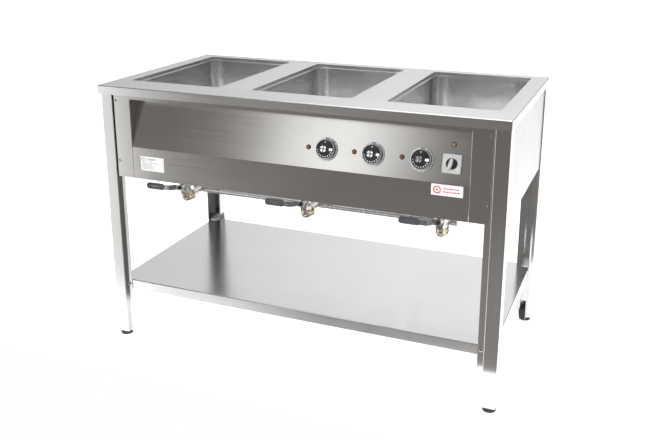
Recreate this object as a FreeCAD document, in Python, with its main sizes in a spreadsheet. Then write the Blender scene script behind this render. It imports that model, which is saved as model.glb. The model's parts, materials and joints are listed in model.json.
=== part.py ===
import FreeCAD, Part

import math
import os

import Sketcher

# Steam table unit: a three-well wet bain-marie on a folded sheet steel stand.
# X runs along the front from left to right, Y from front to back, Z up.
# The origin is on the floor under the middle of the worktop. Millimetres and degrees.
DIMENSIONS = {
    # worktop; every size that ends in drop is measured down from its top face
    "top_width": 1250,
    "top_depth": 650,
    "top_height": 835,
    "top_flange": 26,
    "top_lip": 11.5,
    "sheet_gauge": 1.5,
    "corner_bend": 4,
    "edge_bend": 2.5,
    # frame
    "side_inset": 3,
    "front_inset": 12,
    "leg_face": 40,
    "leg_step": 12,
    "leg_strip": 19,
    "leg_bend": 3.5,
    "foot_height": 14.5,
    "cover_inset": 4,
    "cover_gap": 2.5,
    "cover_drop": 286,
    "side_drop": 290,
    # control recess
    "frame_strip": 58,
    "recess_drop": 39,
    "fold_drop": 187,
    "panel_tilt": 15.5,
    "panel_gap": 0.4,
    "panel_return": 18,
    # wells
    "well_width": 314,
    "well_length": 502,
    "well_pitch": 418,
    "well_front": 107,
    "well_depth": 205,
    "well_gauge": 1.0,
    "well_flange": 8,
    "rim_corner": 10,
    "rim_drop": 11,
    "rim_ledge": 5,
    "well_corner": 46,
    "well_bottom_bend": 10,
    # shelf
    "shelf_top": 198,
    "shelf_flange": 32,
    "shelf_gap": 0.4,
    "rib_width": 60,
    "rib_height": 20,
    # base pan
    "pan_drop": 276,
    "pan_wall": 22,
    "pan_gap": 6,
    # drains
    "drain_y": -185,
    "spout_radius": 13.2,
    "spout_bore": 9.5,
    "spout_rim": 18,
    "spout_disc": 2,
    "spout_gap": 0.1,
    "valve_drop": 332,
    "valve_half": 25,
    "valve_radius": 18.5,
    "hex_flats": 33,
    "hex_length": 11,
    "socket_depth": 9,
    "cavity_radius": 15,
    "ball_gap": 0.3,
    "stem_radius": 5,
    "stem_gap": 0.05,
    "boss_radius": 9,
    "boss_length": 33,
    "lever_gauge": 2.5,
    "lever_width": 17,
    "lever_reach": 106,
    "lever_crank": 15,
    "grip_length": 62,
    "grip_width": 20,
    "grip_thickness": 8,
    "nut_flats": 10,
    "nut_height": 5,
    "stud_radius": 3,
    "pipe_drop": 372,
    "elbow_radius": 15,
    "elbow_reach": 24,
    "pipe_radius": 10.5,
    "pipe_bore": 9,
    "manifold_y": -85,
    "manifold_radius": 13.5,
    "manifold_bore": 11.5,
    "outlet_x": 209,
    "outlet_radius": 12.6,
    "outlet_bore": 10.8,
    "outlet_thread": 20,
    # controls, placed on the sloping panel
    "knob_first": 114,
    "knob_pitch": 136.5,
    "knob_rise": 56.7,
    "knob_radius": 28,
    "knob_face_radius": 25.5,
    "knob_height": 15,
    "hub_radius": 8.5,
    "hub_height": 4,
    "knob_stand": 1.4,
    "scale_radius": 33,
    "scale_gauge": 0.8,
    "spindle_radius": 3,
    "spindle_gap": 0.05,
    "thermostat_side": 34,
    "thermostat_depth": 30,
    "lamp_offset": 55,
    "lamp_rise": 57.6,
    "lamp_radius": 6.6,
    "lamp_body_radius": 5,
    "lamp_height": 4,
    "lamp_depth": 24,
    "switch_x": 469.5,
    "switch_rise": 53.7,
    "switch_side": 51,
    "switch_plate": 6,
    "switch_boss": 15,
    "switch_depth": 40,
    "switch_lamp_rise": 104.5,
    # fasteners
    "screw_radius": 2,
    "screw_head": 4,
    "screw_rise": 2.2,
    "screw_gap": 0.2,
    "screw_high_drop": 46,
    "screw_low_drop": 234,
    "shelf_screw_head": 6,
    # cable gland
    "gland_x": 495,
    "gland_drop": 245,
    "gland_thread": 9.8,
    "gland_bore": 5.5,
    "gland_flats": 24,
    "gland_nut": 3,
    # heaters
    "heater_radius": 4.2,
    "heater_spread": 75,
    "heater_gap": 0.4,
    # feet
    "pad_radius": 19.5,
    "pad_height": 13,
    "plug_height": 24,
    "foot_stud": 5,
}

HOUSING_CLEARANCE = 0.5
FLANGE_SCREWS = (-0.38, 0.07, 0.38)
LABELS = {"rating_plate": (-453, 235, 82, 45), "maker_badge": (462, 205.5, 86, 31)}
FOOT_CORNERS = {
    "front_left": (-1, -1, 0),
    "front_right": (1, -1, 90),
    "back_right": (1, 1, 180),
    "back_left": (-1, 1, 270),
}
WELL_STATIONS = {"left": -1, "middle": 0, "right": 1}
TURN = {"x": ((0, 1, 0), 90), "y": ((1, 0, 0), -90), "z": ((0, 0, 1), 0)}

doc = FreeCAD.newDocument("steam_table")
pieces = []


class Size:
    """A number together with the spreadsheet expression that gives it."""

    def __init__(self, number, text):
        self.number = float(number)
        self.text = text

    def __add__(self, other):
        return Size(self.number + number(other), f"({self.text} + {text(other)})")

    def __radd__(self, other):
        return Size(number(other) + self.number, f"({text(other)} + {self.text})")

    def __sub__(self, other):
        return Size(self.number - number(other), f"({self.text} - {text(other)})")

    def __rsub__(self, other):
        return Size(number(other) - self.number, f"({text(other)} - {self.text})")

    def __mul__(self, other):
        return Size(self.number * number(other), f"({self.text} * {text(other)})")

    def __rmul__(self, other):
        return self * other

    def __truediv__(self, other):
        return Size(self.number / number(other), f"({self.text} / {text(other)})")

    def __neg__(self):
        return Size(-self.number, f"(0 - {self.text})")


def number(value):
    return value.number if isinstance(value, Size) else float(value)


def text(value):
    return value.text if isinstance(value, Size) else f"({float(value)!r})"


def sine(angle):
    return Size(math.sin(math.radians(number(angle))), f"sin({text(angle)} * 1 deg)")


def cosine(angle):
    return Size(math.cos(math.radians(number(angle))), f"cos({text(angle)} * 1 deg)")


class Sheet:
    """The driving dimensions: one spreadsheet row and one attribute for each."""

    def __init__(self, table):
        cells = doc.addObject("Spreadsheet::Sheet", "dims")
        for row, (alias, value) in enumerate(table.items(), start=1):
            cells.set(f"A{row}", alias)
            cells.set(f"B{row}", str(value))
            cells.setAlias(f"B{row}", alias)
            setattr(self, alias, Size(value, f"dims.{alias}"))
        doc.recompute()


def bind(feature, name, value):
    feature.setExpression(name, text(value))


def place(feature, at, axis=(0, 0, 1), angle=0):
    base = "; ".join(text(coordinate) for coordinate in at)
    turn = "; ".join(str(part) for part in axis)
    rotation = f"rotation(vector({turn}); {text(angle)})"
    feature.setExpression("Placement", f"placement(vector({base}); {rotation})")


class Piece:
    """One sub-part: a PartDesign body made from bound boxes, cylinders, outlines and fillets."""

    def __init__(self, label):
        self.body = doc.addObject("PartDesign::Body", label)
        self.body.Label = label
        pieces.append(self.body)

    def box(self, kind, x, y, z):
        feature = self.body.newObject(f"PartDesign::{kind}Box", f"{kind.lower()}_box")
        bind(feature, "Length", x[1] - x[0])
        bind(feature, "Width", y[1] - y[0])
        bind(feature, "Height", z[1] - z[0])
        place(feature, (x[0], y[0], z[0]))
        return self

    def add_box(self, x, y, z):
        return self.box("Additive", x, y, z)

    def cut_box(self, x, y, z):
        return self.box("Subtractive", x, y, z)

    def rod(self, kind, shape, at, axis, size, length):
        feature = self.body.newObject(f"PartDesign::{kind}{shape}", f"{kind.lower()}_{shape.lower()}")
        if shape == "Cylinder":
            bind(feature, "Radius", size)
        else:
            feature.Polygon = 6
            bind(feature, "Circumradius", size / cosine(30) / 2)
        bind(feature, "Height", length)
        turn, angle = TURN[axis]
        place(feature, at, turn, angle)
        return self

    def add_cylinder(self, at, axis, radius, length):
        return self.rod("Additive", "Cylinder", at, axis, radius, length)

    def cut_cylinder(self, at, axis, radius, length):
        return self.rod("Subtractive", "Cylinder", at, axis, radius, length)

    def add_hexagon(self, at, axis, flats, length):
        return self.rod("Additive", "Prism", at, axis, flats, length)

    def ball(self, kind, at, radius):
        feature = self.body.newObject(f"PartDesign::{kind}Sphere", f"{kind.lower()}_sphere")
        bind(feature, "Radius", radius)
        place(feature, at)
        return self

    def outline(self, plane, corners):
        """A closed sketch on one of the body's own origin planes, each corner bound to its sizes."""
        sketch = self.body.newObject("Sketcher::SketchObject", "outline")
        origin = [each for each in self.body.Origin.OriginFeatures if each.Role == plane][0]
        sketch.AttachmentSupport = [(origin, "")]
        sketch.MapMode = "FlatFace"
        points = [FreeCAD.Vector(number(u), number(v), 0) for u, v in corners]
        for index, point in enumerate(points):
            sketch.addGeometry(Part.LineSegment(point, points[(index + 1) % len(points)]), False)
        for index in range(len(points)):
            following = (index + 1) % len(points)
            sketch.addConstraint(Sketcher.Constraint("Coincident", index, 2, following, 1))
        for index, corner in enumerate(corners):
            for direction, value in zip(("DistanceX", "DistanceY"), corner):
                rule = Sketcher.Constraint(direction, -1, 1, index, 1, number(value))
                place_in_list = sketch.addConstraint(rule)
                sketch.setExpression(f"Constraints[{place_in_list}]", text(value))
        return sketch

    def pad(self, plane, corners, length, reverse=False):
        feature = self.body.newObject("PartDesign::Pad", "pad")
        feature.Profile = self.outline(plane, corners)
        feature.Reversed = reverse
        bind(feature, "Length", length)
        return self

    def revolve(self, corners):
        """Turns an outline in the XZ plane about the body's Z axis."""
        feature = self.body.newObject("PartDesign::Revolution", "turned")
        sketch = self.outline("XZ_Plane", corners)
        feature.Profile = sketch
        feature.ReferenceAxis = (sketch, ["V_Axis"])
        feature.Angle = 360
        return self

    def round(self, radius, choose):
        doc.recompute()
        tip = self.body.Tip
        names = [f"Edge{n}" for n, edge in enumerate(tip.Shape.Edges, start=1) if choose(edge)]
        feature = self.body.newObject("PartDesign::Fillet", "round")
        feature.Base = (tip, names)
        bind(feature, "Radius", radius)
        return self

    def at(self, position, axis=(0, 0, 1), angle=0):
        place(self.body, position, axis, angle)
        return self


def close(first, second):
    return abs(number(first) - number(second)) < 0.02


def edges_along(axis, **wanted):
    """Chooses straight edges along one axis, and at the given coordinates if any."""

    def choose(edge):
        box = edge.BoundBox
        spans = {"x": box.XLength, "y": box.YLength, "z": box.ZLength}
        centre = {"x": box.Center.x, "y": box.Center.y, "z": box.Center.z}
        if any(spans[other] > 0.01 for other in spans if other != axis):
            return False
        return all(any(close(centre[name], value) for value in values) for name, values in wanted.items())

    return choose


def edges_level(height):
    """Chooses every edge that lies at one height."""

    def choose(edge):
        return close(edge.BoundBox.ZMin, height) and close(edge.BoundBox.ZMax, height)

    return choose


d = Sheet(DIMENSIONS)

half_width = d.top_width / 2
half_depth = d.top_depth / 2
leg_x = half_width - d.side_inset
front_y = d.front_inset - half_depth
back_y = half_depth - d.side_inset
under_top = d.top_height - d.sheet_gauge
cover_bottom = d.top_height - d.cover_drop
side_bottom = d.top_height - d.side_drop
recess_top = d.top_height - d.recess_drop
fold_height = d.top_height - d.fold_drop
pan_height = d.top_height - d.pan_drop
valve_height = d.top_height - d.valve_drop
pipe_axis = d.top_height - d.pipe_drop
screw_high = d.top_height - d.screw_high_drop
screw_low = d.top_height - d.screw_low_drop
gland_height = d.top_height - d.gland_drop
strip_end = d.leg_face + d.leg_strip
strip_screw = d.leg_face + d.leg_strip / 2
cover_end = d.leg_face + d.cover_gap
well_y = d.well_front - half_depth + d.well_length / 2
panel_up = cosine(d.panel_tilt)
panel_back = sine(d.panel_tilt)
fold_y = front_y + d.cover_inset
recess_x = leg_x - cover_end - d.frame_strip
hole_radius = d.screw_radius + d.screw_gap


def both(value):
    return (-value, value)


def on_panel(x, rise, lift=0):
    """A point on the sloping panel: rise up its slope and lift out of its face."""
    return (x, fold_y + rise * panel_back - lift * panel_up, fold_height + rise * panel_up + lift * panel_back)


def seat(piece, x, rise, lift=0):
    """Stands a piece on the sloping panel, its own Z axis out of the panel's face."""
    return piece.at(on_panel(x, rise, lift), (1, 0, 0), 90 - d.panel_tilt)


def make_worktop():
    top = Piece("worktop")
    low = d.top_height - d.top_flange
    top.add_box(both(half_width), both(half_depth), (low, d.top_height))
    top.round(d.corner_bend, edges_along("z"))
    top.round(d.edge_bend, edges_level(d.top_height))
    inner_x = both(half_width - d.sheet_gauge)
    inner_back = half_depth - d.sheet_gauge
    top.cut_box(inner_x, (-inner_back, inner_back), (low + d.sheet_gauge, under_top))
    top.cut_box(inner_x, (d.top_lip - half_depth, inner_back), (low - 1, low + d.sheet_gauge))
    for station in WELL_STATIONS.values():
        middle = station * d.well_pitch
        across = (middle - d.well_width / 2, middle + d.well_width / 2)
        along = (well_y - d.well_length / 2, well_y + d.well_length / 2)
        top.cut_box(across, along, (under_top - 1, d.top_height + 1))
        top.round(d.rim_corner, edges_along("z", x=across, y=along))
    head_z = low + d.top_flange / 4
    for fraction in FLANGE_SCREWS:
        top.cut_cylinder((-half_width - 1, fraction * d.top_depth, head_z), "x", d.screw_head, d.top_width + 2)


def make_top_screws():
    screws = Piece("flange_screws")
    head_z = d.top_height - d.top_flange * 3 / 4
    radius = d.screw_head - d.screw_gap
    for side in (-1, 1):
        for fraction in FLANGE_SCREWS:
            start = side * half_width - (d.sheet_gauge + HOUSING_CLEARANCE if side > 0 else 0)
            screws.add_cylinder((start, fraction * d.top_depth, head_z), "x", radius,
                                d.sheet_gauge + HOUSING_CLEARANCE)
            shank = side * half_width - (d.side_inset + d.cover_inset + 2 if side > 0 else -d.sheet_gauge)
            screws.add_cylinder((shank, fraction * d.top_depth, head_z), "x", d.screw_radius,
                                d.side_inset + d.cover_inset + 2 - d.sheet_gauge)


def make_well(name, station):
    well = Piece(f"well_{name}")
    pan_x = d.well_width / 2 - d.rim_ledge
    pan_y = d.well_length / 2 - d.rim_ledge
    rim_x = d.well_width / 2
    rim_y = d.well_length / 2
    gauge = d.well_gauge
    bottom = -d.well_depth
    well.add_box(both(pan_x + gauge), both(pan_y + gauge), (bottom - gauge, -gauge))
    well.add_box(both(rim_x + gauge), both(rim_y + gauge), (-d.rim_drop - gauge, 0))
    well.add_box(both(rim_x + d.well_flange), both(rim_y + d.well_flange), (-gauge, 0))
    well.cut_box(both(rim_x), both(rim_y), (-d.rim_drop, 1))
    well.cut_box(both(pan_x), both(pan_y), (bottom, -d.rim_drop + 1))
    well.round(d.well_corner, edges_along("z", x=both(pan_x), y=both(pan_y)))
    well.round(d.well_bottom_bend, edges_level(bottom))
    well.round(d.rim_corner, edges_along("z", x=both(rim_x), y=both(rim_y)))
    well.round(d.well_corner + gauge, edges_along("z", x=both(pan_x + gauge), y=both(pan_y + gauge)))
    well.round(d.well_bottom_bend + gauge, edges_level(bottom - gauge))
    well.round(d.rim_corner + gauge, edges_along("z", x=both(rim_x + gauge), y=both(rim_y + gauge)))
    drain = (0, d.drain_y - well_y, bottom - gauge - 1)
    well.cut_cylinder(drain, "z", d.spout_radius + d.spout_gap, gauge + 2)
    well.at((station * d.well_pitch, well_y, under_top))


def leg_outline():
    face, step, end, gauge = d.leg_face, d.leg_step, strip_end, d.sheet_gauge
    run = [(0, 0), (face, 0), (face, step), (end, step), (end, step + gauge)]
    run += [(face - gauge, step + gauge), (face - gauge, gauge), (gauge, gauge)]
    mirrored = [(v, u) for u, v in reversed(run[1:-1])]
    return run + mirrored


def corner_spot(side, end, across, along):
    """A point inside a leg corner, given inwards from the two outer faces."""
    x = side * (leg_x - across)
    y = front_y + along if end < 0 else back_y - along
    return x, y


def make_leg(name, side, end, turn):
    leg = Piece(f"leg_{name}")
    height = under_top - d.foot_height
    leg.pad("XY_Plane", leg_outline(), height)
    leg.round(d.leg_bend, edges_along("z", x=(0,), y=(0,)))
    folds = edges_along("z", x=(d.leg_face,), y=(0,))
    leg.round(d.sheet_gauge, folds)
    leg.round(d.sheet_gauge, edges_along("z", x=(0,), y=(d.leg_face,)))
    shelf_screw = d.shelf_top - d.shelf_flange / 2
    for level in (screw_high, screw_low, shelf_screw):
        lift = level - d.foot_height
        leg.cut_cylinder((strip_screw, d.leg_step - 1, lift), "y", hole_radius, d.sheet_gauge + 2)
        leg.cut_cylinder((d.leg_step - 1, strip_screw, lift), "x", hole_radius, d.sheet_gauge + 2)
    x, y = corner_spot(side, end, 0, 0)
    leg.at((x, y, d.foot_height), (0, 0, 1), turn)


def foot_spot(side, end):
    return corner_spot(side, end, d.leg_face / 2, d.leg_face / 2)


def make_foot_sockets():
    """The block in the bottom of each leg that the foot's stud screws into."""
    blocks = Piece("foot_sockets")
    half = d.leg_face / 2 - d.sheet_gauge
    for side, end, _ in FOOT_CORNERS.values():
        x, y = foot_spot(side, end)
        blocks.add_box((x - half, x + half), (y - half, y + half), (d.foot_height, d.foot_height + d.plug_height))
        blocks.cut_cylinder((x, y, d.foot_height - 1), "z", d.foot_stud + d.stem_gap, d.plug_height + 2)


def make_foot(name, side, end):
    x, y = foot_spot(side, end)
    foot = Piece(f"foot_{name}")
    radius, height, stud = d.pad_radius, d.pad_height, d.foot_stud
    top = height + d.plug_height + 6
    foot.revolve([(0, 0), (radius - 2, 0), (radius, 2), (radius, height * 0.6), (radius - 3, height),
                  (stud, height), (stud, top), (0, top)])
    foot.at((x, y, 0))


def make_front_frame():
    """The fixed surround of the control recess: side strips, top rail, ceiling and end cheeks."""
    frame = Piece("front_frame")
    gauge = d.sheet_gauge
    end_x = leg_x - cover_end
    low, high, recess = cover_bottom, under_top, recess_top
    face = [(-end_x, low), (-recess_x, low), (-recess_x, recess), (recess_x, recess),
            (recess_x, low), (end_x, low), (end_x, high), (-end_x, high)]
    frame.pad("XZ_Plane", face, gauge, reverse=True)
    ceiling_back = (recess_top - fold_height) * panel_back / panel_up
    frame.add_box(both(recess_x), (0, ceiling_back), (recess, recess + gauge))
    for side in (-1, 1):
        end = (end_x - gauge, end_x) if side > 0 else (-end_x, gauge - end_x)
        frame.add_box(end, (0, d.leg_step - d.cover_inset), (low, high))
        cheek = (recess_x, recess_x + gauge) if side > 0 else (-recess_x - gauge, -recess_x)
        frame.add_box(cheek, (0, ceiling_back), (fold_height - 40, recess + gauge))
        strip = (recess_x, end_x) if side > 0 else (-end_x, -recess_x)
        frame.add_box(strip, (0, d.leg_step - d.cover_inset), (low, low + gauge))
    frame.round(gauge * 1.4, edges_along("z", x=both(end_x), y=(0,)))
    frame.round(gauge * 0.9, edges_along("z", x=both(recess_x), y=(0,)))
    for side in (-1, 1):
        for level in (screw_high, screw_low):
            hole = (side * (leg_x - strip_screw), -1, level)
            frame.cut_cylinder(hole, "y", hole_radius, gauge + 2)
    frame.at((0, fold_y, 0))


def make_control_panel():
    """One folded sheet: lower face, slope and top return, held in the panel's own tilted frame."""
    panel = Piece("control_panel")
    gauge = d.sheet_gauge
    slope = (recess_top - HOUSING_CLEARANCE - fold_height) / panel_up - gauge
    drop = fold_height - cover_bottom
    down = (-drop * panel_up, -drop * panel_back)
    inward = (panel_back, -panel_up)
    shift = gauge * panel_back / (1 + panel_up)
    outer = [(0, 0), (slope, 0), (slope, -gauge), (shift * -1, -gauge)]
    lower_inner = (down[0] + inward[0] * gauge, down[1] + inward[1] * gauge)
    foot_low = (down[0] + inward[0] * d.panel_return, down[1] + inward[1] * d.panel_return)
    foot_high = (foot_low[0] + gauge * panel_up, foot_low[1] + gauge * panel_back)
    lip_inner = (lower_inner[0] + gauge * panel_up, lower_inner[1] + gauge * panel_back)
    profile = outer + [lip_inner, foot_high, foot_low, down]
    half = recess_x - d.panel_gap
    panel.pad("YZ_Plane", profile, half * 2)
    panel.round(gauge, edges_along("x", y=(0,), z=(0,)))
    for index in range(3):
        x = d.knob_first + index * d.knob_pitch
        panel.cut_cylinder((x + half, d.knob_rise, -gauge - 1), "z", d.spindle_radius + 1, gauge + 2)
        lamp = (x - d.lamp_offset + half, d.lamp_rise, -gauge - 1)
        panel.cut_cylinder(lamp, "z", d.lamp_body_radius + d.screw_gap, gauge + 2)
    last_lamp = (d.switch_x + half, d.switch_lamp_rise, -gauge - 1)
    panel.cut_cylinder(last_lamp, "z", d.lamp_body_radius + d.screw_gap, gauge + 2)
    panel.cut_cylinder((d.switch_x + half, d.switch_rise, -gauge - 1), "z", d.spindle_radius + 2, gauge + 2)
    panel.at((-half, fold_y, fold_height), (1, 0, 0), 90 - d.panel_tilt)


def make_rear_panel():
    panel = Piece("rear_panel")
    gauge = d.sheet_gauge
    end_x = leg_x - cover_end
    face_y = back_y - d.cover_inset
    low = cover_bottom
    panel.add_box(both(end_x), (face_y - gauge, face_y), (low, under_top))
    panel.add_box(both(end_x), (face_y + d.cover_inset - d.leg_step, face_y), (low, low + gauge))
    for side in (-1, 1):
        edge = (end_x - gauge, end_x) if side > 0 else (-end_x, gauge - end_x)
        panel.add_box(edge, (face_y + d.cover_inset - d.leg_step, face_y), (low, under_top))
    panel.round(gauge * 1.4, edges_along("z", x=both(end_x), y=(face_y,)))
    for side in (-1, 1):
        for level in (screw_high, screw_low):
            hole = (side * (leg_x - strip_screw), face_y - gauge - 1, level)
            panel.cut_cylinder(hole, "y", hole_radius, gauge + 2)
    entry = (d.gland_x, face_y - gauge - 1, gland_height)
    panel.cut_cylinder(entry, "y", d.gland_thread + d.screw_gap, gauge + 2)


def make_side_panel(name, side):
    panel = Piece(f"side_panel_{name}")
    gauge = d.sheet_gauge
    front, back = front_y + cover_end, back_y - cover_end
    face_x = leg_x - d.cover_inset
    low = side_bottom

    def across(near, far):
        return (near, far) if side > 0 else (-far, -near)

    panel.add_box(across(face_x - gauge, face_x), (front, back), (low, under_top))
    depth = d.leg_step - d.cover_inset
    panel.add_box(across(face_x - depth, face_x), (front, back), (low, low + gauge))
    panel.add_box(across(face_x - depth, face_x), (front, front + gauge), (low, under_top))
    panel.add_box(across(face_x - depth, face_x), (back - gauge, back), (low, under_top))
    panel.round(gauge * 1.4, edges_along("z", x=(side * face_x,), y=(front, back)))
    panel.round(gauge * 0.9, edges_along("y", x=(side * face_x,), z=(low,)))
    spots = [(front_y + strip_screw, level) for level in (screw_high, screw_low)]
    spots += [(back_y - strip_screw, level) for level in (screw_high, screw_low)]
    head_z = d.top_height - d.top_flange * 3 / 4
    spots += [(fraction * d.top_depth, head_z) for fraction in FLANGE_SCREWS]
    start = across(face_x - gauge - 1, face_x + 1)[0]
    for y, level in spots:
        panel.cut_cylinder((start, y, level), "x", hole_radius, gauge + 2)


def cover_screw(screws, at, axis, outward):
    """One pan-head screw through a cover and the leg strip behind it; at is on the cover's face."""
    x, y, z = at
    grip = d.leg_step - d.cover_inset + d.sheet_gauge + 3
    if outward > 0:
        low, head = -grip, 0
    else:
        low, head = 0, -d.screw_rise
    shank = (x + low, y, z) if axis == "x" else (x, y + low, z)
    cap = (x + head, y, z) if axis == "x" else (x, y + head, z)
    screws.add_cylinder(shank, axis, d.screw_radius, grip)
    screws.add_cylinder(cap, axis, d.screw_head, d.screw_rise)


def make_screws():
    covers = Piece("cover_screws")
    shelf = Piece("shelf_screws")
    shelf_screw = d.shelf_top - d.shelf_flange / 2
    grip = d.sheet_gauge * 2 + d.shelf_gap + 3
    for side, end, _ in FOOT_CORNERS.values():
        for level in (screw_high, screw_low):
            x, y = corner_spot(side, end, strip_screw, d.cover_inset)
            cover_screw(covers, (x, y, level), "y", end)
            x, y = corner_spot(side, end, d.cover_inset, strip_screw)
            cover_screw(covers, (x, y, level), "x", side)
        x, y = corner_spot(side, end, strip_screw, d.leg_step)
        low = 0 if end < 0 else -grip
        shelf.add_cylinder((x, y + low, shelf_screw), "y", d.screw_radius, grip)
        cap = -d.screw_rise if end < 0 else 0
        shelf.add_cylinder((x, y + cap, shelf_screw), "y", d.shelf_screw_head, d.screw_rise)


def make_shelf():
    shelf = Piece("shelf")
    gauge = d.sheet_gauge
    inset = d.leg_step + gauge + d.shelf_gap
    x = leg_x - inset
    front, back = front_y + inset, back_y - inset
    low, high = d.shelf_top - d.shelf_flange, d.shelf_top
    shelf.add_box(both(x), (front, back), (low, high))
    notch = d.leg_face + d.shelf_gap - inset
    for side in (-1, 1):
        across = (x - notch, x + 1) if side > 0 else (-x - 1, notch - x)
        shelf.cut_box(across, (front - 1, front + notch), (low - 1, high + 1))
        shelf.cut_box(across, (back - notch, back + 1), (low - 1, high + 1))
    shelf.round(d.edge_bend, edges_level(high))
    wall = gauge
    shelf.cut_box(both(x - notch - wall), (front + wall, back - wall), (low - 1, high - gauge))
    shelf.cut_box(both(x - wall), (front + notch + wall, back - notch - wall), (low - 1, high - gauge))
    shelf_screw = d.shelf_top - d.shelf_flange / 2
    for side in (-1, 1):
        spot = side * (leg_x - strip_screw)
        shelf.cut_cylinder((spot, front - 1, shelf_screw), "y", hole_radius, wall + 2)
        shelf.cut_cylinder((spot, back - wall - 1, shelf_screw), "y", hole_radius, wall + 2)


def make_shelf_ribs():
    ribs = Piece("shelf_stiffeners")
    gauge = d.sheet_gauge
    inset = d.leg_step + gauge * 2 + d.shelf_gap + HOUSING_CLEARANCE
    x = leg_x - inset - d.leg_face
    middle = (front_y + back_y) / 2
    high = d.shelf_top - gauge
    for side in (-1, 1):
        centre = middle + side * d.top_depth / 5
        ribs.add_box(both(x), (centre - d.rib_width / 2, centre + d.rib_width / 2), (high - d.rib_height, high))
        inner = d.rib_width / 2 - gauge
        ribs.cut_box(both(x + 1), (centre - inner, centre + inner), (high - d.rib_height + gauge, high))
        slot = inner - 8
        ribs.cut_box(both(x + 1), (centre - slot, centre + slot),
                     (high - d.rib_height - 1, high - d.rib_height + gauge + 1))


def make_base_pan():
    """The tray that closes the housing under the wells, with a hole for each drain spout."""
    pan = Piece("base_pan")
    gauge = d.sheet_gauge
    x = leg_x - d.leg_step - gauge - d.pan_gap
    front = fold_y + gauge + d.panel_return + d.pan_gap
    back = back_y - d.leg_step - gauge - d.pan_gap
    low, high = pan_height, pan_height + d.pan_wall
    notch = strip_end + d.pan_gap - d.leg_step
    pan.add_box(both(x), (front, back), (low, high))
    pan.round(d.leg_bend, edges_along("z"))
    pan.cut_box(both(x - gauge), (front + gauge, back - gauge), (low + gauge, high + 1))
    for side in (-1, 1):
        corner = (x - notch, x + 1) if side > 0 else (-x - 1, notch - x)
        pan.cut_box(corner, (front - 1, front + notch - d.panel_return), (low - 1, high + 1))
        pan.cut_box(corner, (back - notch, back + 1), (low - 1, high + 1))
    for station in WELL_STATIONS.values():
        spot = (station * d.well_pitch, d.drain_y, low - 1)
        pan.cut_cylinder(spot, "z", d.spout_radius + 2, gauge + 2)


def make_cable_gland():
    """A flat gland in the rear panel, its own Z axis pointing out at the back."""
    gland = Piece("cable_gland")
    inner = -d.sheet_gauge - 9
    gland.add_cylinder((0, 0, inner), "z", d.gland_thread, -inner)
    gland.add_hexagon((0, 0, 0), "z", d.gland_flats, d.gland_nut)
    gland.add_hexagon((0, 0, -d.sheet_gauge - 5), "z", d.gland_flats, 5)
    gland.cut_cylinder((0, 0, inner - 1), "z", d.gland_bore, d.gland_nut - inner + 2)
    gland.at((d.gland_x, back_y - d.cover_inset, gland_height), *TURN["y"])


def make_terminal_block():
    """Five poles in a row, between two wells so that it stays clear of the heaters."""
    block = Piece("terminal_block")
    poles, pole_pitch, width, height = 5, 12, 24, 20
    screw_well, screw_depth = 3, 8
    wire_half, wire_depth, wire_low, wire_high = 3.5, 6, 4, 11
    half_length = poles * pole_pitch / 2
    block.add_box(both(half_length), (0, width), (0, height))
    for index in range(poles):
        x = (index + 0.5) * pole_pitch - half_length
        block.cut_cylinder((x, width / 2, height - screw_depth), "z", screw_well, screw_depth + 1)
        block.cut_box((x - wire_half, x + wire_half), (-1, wire_depth), (wire_low, wire_high))
    block.at((d.well_pitch / 2, well_y, pan_height + d.sheet_gauge))


def make_heaters():
    """A hairpin tubular element under each well, clear of the drain."""
    elements = []
    z = under_top - d.well_depth - d.well_gauge - d.heater_gap - d.heater_radius
    back = well_y + d.well_length / 2 - d.well_corner - d.heater_spread
    front = d.drain_y + d.spout_rim * 2
    for station in WELL_STATIONS.values():
        middle = station * d.well_pitch
        bend = doc.addObject("Part::Torus", "heater_bend")
        bind(bend, "Radius1", d.heater_spread)
        bind(bend, "Radius2", d.heater_radius)
        bend.Angle3 = 180
        place(bend, (middle, back, z))
        parts = [bend]
        for side in (-1, 1):
            run = doc.addObject("Part::Cylinder", "heater_run")
            bind(run, "Radius", d.heater_radius)
            bind(run, "Height", back - front)
            turn, angle = TURN["y"]
            place(run, (middle + side * d.heater_spread, front, z), turn, angle)
            parts.append(run)
        elements += parts
    heaters = doc.addObject("Part::MultiFuse", "heaters")
    heaters.Shapes = elements
    heaters.Label = "heaters"
    pieces.append(heaters)


def make_drain_spouts():
    spouts = Piece("drain_spouts")
    bottom = under_top - d.well_depth
    low = valve_height + d.valve_half - d.socket_depth
    for station in WELL_STATIONS.values():
        x = station * d.well_pitch
        spouts.add_cylinder((x, d.drain_y, low), "z", d.spout_radius, bottom + d.spout_disc - low)
        spouts.add_cylinder((x, d.drain_y, bottom), "z", d.spout_rim, d.spout_disc)
        spouts.add_hexagon((x, d.drain_y, bottom - d.well_gauge - 9), "z", d.hex_flats + 5, 8)
        spouts.cut_cylinder((x, d.drain_y, low - 1), "z", d.spout_bore, bottom + d.spout_disc - low + 2)


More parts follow.
